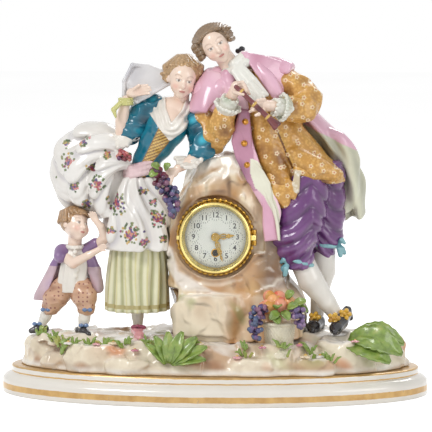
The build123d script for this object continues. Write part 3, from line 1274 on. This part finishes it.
MAN_FRONT_SHOE_SHARES = (
    (6, -3.6, 4.4, 2.2), (4.9, -7.2, 3.4, 2.7), (3.6, -11.8, 1.9, 2), (3.3, -13.8, 1.2, 1),
)
MAN_REAR_SHOE_SHARES = (
    (-2, 3.9, 1.8, 2.1), (-2.6, -1.3, 2.2, 2.7), (-3.6, -6.6, 1.8, 2.3), (-3.9, -8.9, 1.2, 1.1),
)
MAN_LEFT_UPPER_SHARES = ((-33.4, -2.6, 80.5, 4.4), (-35.6, -5, 71, 5.2), (-36.6, -7, 62.4, 5.0))
MAN_LEFT_FORE_SHARES = ((-37, -6.2, 61.6, 4.4), (-34.4, -9.4, 67, 5.2), (-31.5, -13.1, 73.4, 3.9))
MAN_RIGHT_UPPER_SHARES = ((-16.6, -1.4, 80.6, 4.9), (-10, -3.4, 78.6, 5.4), (-3.6, -6, 74.6, 5.2))
MAN_RIGHT_FORE_SHARES = ((-3.2, -5.4, 74.8, 4.6), (-8.6, -9.8, 73.4, 5.3), (-13.8, -13.4, 73.4, 4.1))
MAN_LEFT_HAND_SHARES = (
    (-31.2, -13.5, 74.2, 3.4), (-30.3, -14.5, 76.8, 4.6), (-29.6, -15.2, 78.2, 2.6),
    (-27.6, -16, 80.2, 2.5), (-25.4, -16.4, 79.6, 1.2),
)
MAN_RIGHT_HAND_SHARES = (
    (-14.2, -13.6, 73.4, 3.6), (-16.6, -14.8, 73.7, 4.7), (-18, -15.4, 74, 2.6),
    (-20.4, -16.2, 74.5, 2.5), (-22.8, -16.8, 74.1, 1.2),
)
MAN_NECK_SHARES = ((-29, -3.6, 82, 3.7), (-32.1, -5.2, 86.6, 3.3), (-34.6, -6, 90.6, 3.0))
MAN_HEAD_SHARES = (
    (-33.8, -7.9, 86.9, 1.6, 2), (-34.8, -7.2, 89.2, 3.9, 4.6), (-36.1, -6.6, 92.5, 4.9, 5.9),
    (-37.4, -5.6, 95.7, 4.9, 5.9), (-38.4, -4.9, 98, 3.6, 4.3), (-38.7, -4.6, 99, 1.3, 1.6),
)
MAN_HAIR_SHARES = ((-37.3, -3.6, 95, 6, 5.8, 5), (-34.2, -0.6, 91, 5.2, 4.2, 5.2))
MAN_FACE_ROOM_SHARES = (-35.6, -14, 91, 5.2, 8.4, 5)
MAN_FLUTE_START_SHARES = (-29.6, -18.4, 82)
MAN_FLUTE_END_SHARES = (-15.1, -19.2, 67.5)
FLUTE_RADIUS = 2.8
FLUTE_BELL = 4.8
FLUTE_BORE = 1.3
FLUTE_HOLE = 0.7
FLUTE_HOLE_SHARES = (0.3, 0.38, 0.46, 0.6, 0.68, 0.76)


def build_flute():
    """The flute: a tapered tube with six finger holes."""
    start = MAN.at(*MAN_FLUTE_START_SHARES)
    end = MAN.at(*MAN_FLUTE_END_SHARES)
    span = end - start
    plane = across(start, span)
    body = loft([
        plane * Circle(FLUTE_RADIUS),
        plane.offset(span.length * 3 / 4) * Circle(FLUTE_RADIUS),
        plane.offset(span.length) * Circle(FLUTE_BELL),
    ], ruled=True)
    body -= plane.location * Pos(0, 0, span.length / 2) * Cylinder(FLUTE_BORE, span.length + OVERRUN)
    for share in FLUTE_HOLE_SHARES:
        hole = Rot(90, 0, 0) * Cylinder(FLUTE_HOLE, FLUTE_RADIUS * 2)
        body -= plane.location * Pos(0, -FLUTE_RADIUS, span.length * share) * hole
    return body


def man_pieces(base, beside):
    """The man, each piece cut to meet what lies under it and beside it."""
    waistcoat = cut(MAN.drape(MAN_WAISTCOAT_SHARES), *base)
    breeches = MAN.limb(MAN_FRONT_THIGH_SHARES) + MAN.limb(MAN_REAR_THIGH_SHARES)
    breeches = cut(breeches, waistcoat, *base)
    shoes = []
    stockings = []
    for shoe_shares, calf_shares in (
        (MAN_FRONT_SHOE_SHARES, MAN_FRONT_CALF_SHARES),
        (MAN_REAR_SHOE_SHARES, MAN_REAR_CALF_SHARES),
    ):
        shoe = cut(MAN.drape([row + (row[3] * SHOE_HEIGHT_SHARE,) for row in shoe_shares]), *base)
        shoes.append(shoe)
        stockings.append(cut(MAN.limb(calf_shares), breeches, shoe, *base))
    head = cut(MAN.limb(MAN_NECK_SHARES) + MAN.drape(MAN_HEAD_SHARES), waistcoat)
    hair = MAN.egg(*MAN_HAIR_SHARES[0]) + MAN.egg(*MAN_HAIR_SHARES[1])
    hair = cut(hair - MAN.egg(*MAN_FACE_ROOM_SHARES), head, waistcoat)
    left_sleeve = MAN.limb(MAN_LEFT_UPPER_SHARES) + MAN.limb(MAN_LEFT_FORE_SHARES)
    left_sleeve = cut(left_sleeve, waistcoat, head, hair, *beside, *base)
    right_sleeve = MAN.limb(MAN_RIGHT_UPPER_SHARES) + MAN.limb(MAN_RIGHT_FORE_SHARES)
    right_sleeve = cut(right_sleeve, waistcoat, head, hair)
    flute = build_flute()
    left_hand = cut(MAN.limb(MAN_LEFT_HAND_SHARES), left_sleeve, waistcoat, flute)
    right_hand = cut(MAN.limb(MAN_RIGHT_HAND_SHARES), right_sleeve, waistcoat, flute)
    under = (waistcoat, left_sleeve, right_sleeve, left_hand, right_hand, breeches, head, hair, *base)
    coat = MAN.drape(MAN_COAT_SHARES) - MAN.drape(MAN_COAT_ROOM_SHARES)
    for fold_shares in MAN_COAT_FOLD_SHARES:
        coat += MAN.limb(fold_shares)
    coat = cut(coat, *under)
    panel = cut(MAN.drape(MAN_PANEL_SHARES), coat, *under)
    cape = cut(MAN.drape(MAN_CAPE_SHARES), coat, panel, *beside, *under)
    return {
        "man_waistcoat": [waistcoat],
        "man_breeches": [breeches],
        "man_stockings": stockings,
        "man_shoes": shoes,
        "man_head": [head],
        "man_hair": [hair],
        "man_sleeves": [left_sleeve, right_sleeve],
        "man_hands": [left_hand, right_hand],
        "man_flute": [flute],
        "man_coat": [coat, panel, cape],
    }


# Boy: tables of places and half sizes in hundredths of his stature

BOY_HEAD_SHARES = (
    (10.3, -8.7, 71.4, 3.2, 3.2), (8.7, -7.1, 75.4, 8.7, 8.7), (7.1, -4.8, 82.5, 12.3, 11.9),
    (5.6, -3.2, 90, 11.8, 11.4), (4.8, -2.4, 95.5, 7.1, 7.1), (4.8, -2.4, 97.6, 3.2, 3.2),
)
BOY_NECK_SHARES = ((6.3, -1.6, 65, 5.6), (7.2, -2.4, 69, 5.5), (7.9, -3.2, 76, 5.4))
BOY_HAIR_SHARES = (4.2, 0.6, 89, 13.6, 12.4, 11.4)
BOY_FACE_ROOM_SHARES = (9, -18, 82, 11, 16, 11)
BOY_SHIRT_SHARES = (
    (4, 0.8, 33, 11.9, 10.3), (4.8, -0.8, 45.2, 11.9, 10.3), (6.3, -1.6, 56.3, 11.1, 9.5),
    (6.3, -0.8, 67, 7.1, 6.3),
)
BOY_COAT_SHARES = (
    (6.3, 1.6, 69, 10.3, 8.7), (4, 2.4, 57.9, 15.9, 12.7), (0.8, 4.8, 43.7, 19, 14.3),
    (-4, 7.9, 29.4, 21.4, 13.5),
)
BOY_COAT_ROOM_SHARES = (
    (7, -14, 80, 8, 12), (6, -14, 55, 11, 13), (5, -12, 38, 14, 15), (4, -10, 18, 18, 16),
)
BOY_LEFT_ARM_SHARES = (
    (-5, -2.4, 62.7, 5.2), (5.6, -11.9, 56.3, 4.8), (19.8, -16.7, 64.3, 3.4), (27, -17.5, 69, 2.4),
)
BOY_RIGHT_UPPER_SHARES = ((15.5, -0.8, 62.3, 5.4), (24, -5, 70, 5), (32, -9.2, 77.6, 4))
BOY_RIGHT_FORE_SHARES = ((32.4, -9, 75.6, 4), (28.5, -10.2, 85.5, 3.4), (22.2, -10.3, 93.4, 2.6))
BOY_LEFT_THIGH_SHARES = ((-3.2, 2.4, 38, 9.5), (-10.3, 4, 26.2, 9.5), (-14.3, 4, 18.3, 7.1))
BOY_RIGHT_THIGH_SHARES = ((9.5, -0.8, 38, 9.5), (13.5, -4, 29.4, 9.5), (15.1, -5.6, 19.8, 7.1))
BOY_LEFT_CALF_SHARES = ((-13.6, 4, 20, 4.8), (-18.3, 4.8, 11.9, 4.8), (-22.2, 4.8, 4, 3.6))
BOY_RIGHT_CALF_SHARES = ((15.4, -5.6, 22, 5.2), (13.5, -5.6, 11.9, 4.8), (11.9, -5.6, 4, 3.6))
BOY_LEFT_SHOE_SHARES = ((-19.2, 5.4, 2.4, 3.2), (-24.6, 3.2, 2.4, 3.7), (-28.6, 1.6, 1.6, 2))
BOY_RIGHT_SHOE_SHARES = ((8.7, -3.2, 2.4, 3.6), (13.5, -8.7, 2.4, 4), (18.3, -13.5, 1.6, 2))


def boy_pieces(base):
    """The boy, each piece cut to meet what lies under it."""
    shirt = BOY.drape(BOY_SHIRT_SHARES)
    breeches = cut(BOY.limb(BOY_LEFT_THIGH_SHARES) + BOY.limb(BOY_RIGHT_THIGH_SHARES), shirt, *base)
    shoes = []
    legs = []
    for shoe_shares, calf_shares in (
        (BOY_LEFT_SHOE_SHARES, BOY_LEFT_CALF_SHARES),
        (BOY_RIGHT_SHOE_SHARES, BOY_RIGHT_CALF_SHARES),
    ):
        shoe = cut(BOY.drape([row + (row[3] * SHOE_HEIGHT_SHARE,) for row in shoe_shares]), *base)
        shoes.append(shoe)
        legs.append(cut(BOY.limb(calf_shares), breeches, shoe, *base))
    head = cut(BOY.limb(BOY_NECK_SHARES) + BOY.drape(BOY_HEAD_SHARES), shirt)
    hair = cut(BOY.egg(*BOY_HAIR_SHARES) - BOY.egg(*BOY_FACE_ROOM_SHARES), head)
    raised_arm = BOY.limb(BOY_RIGHT_UPPER_SHARES) + BOY.limb(BOY_RIGHT_FORE_SHARES)
    arms = [cut(arm, shirt, head, hair, *base) for arm in (BOY.limb(BOY_LEFT_ARM_SHARES), raised_arm)]
    coat = BOY.drape(BOY_COAT_SHARES) - BOY.drape(BOY_COAT_ROOM_SHARES)
    coat = cut(coat, shirt, breeches, head, hair, *arms, *base)
    return {
        "boy_shirt": [shirt],
        "boy_breeches": [breeches],
        "boy_legs": legs + shoes,
        "boy_head": [head, hair],
        "boy_arms": arms,
        "boy_coat": [coat],
    }


# All pieces together


def build_all():
    """Every named piece as a list of solids."""
    plinth = build_plinth()
    ground = build_ground()
    rock = cut(build_rock(), ground)
    basket = basket_pieces()
    base = (ground, rock)
    pieces = {"plinth": [plinth], "ground": [ground], "rock_case": [rock]}
    pieces.update({name: [cut(solid, *base) for solid in solids] for name, solids in basket.items()})
    boy = boy_pieces(base)
    woman = woman_pieces(base, boy["boy_head"] + boy["boy_arms"] + boy["boy_coat"])
    beside = woman["woman_sleeves"] + woman["woman_bodice"] + woman["woman_hair"] + woman["woman_head"]
    pieces.update(woman)
    pieces.update(man_pieces(base, beside))
    pieces.update(boy)
    pieces["ground_plants"] = [cut(leaf, *base) for leaf in build_leaves()]
    pieces.update(clock_pieces())
    return pieces


def main():
    os.makedirs("parts", exist_ok=True)
    for name, solids in build_all().items():
        flat = [solid for piece in solids for solid in piece.solids()]
        export_step(flat[0] if len(flat) == 1 else Compound(children=flat), f"parts/{name}.step")


main()
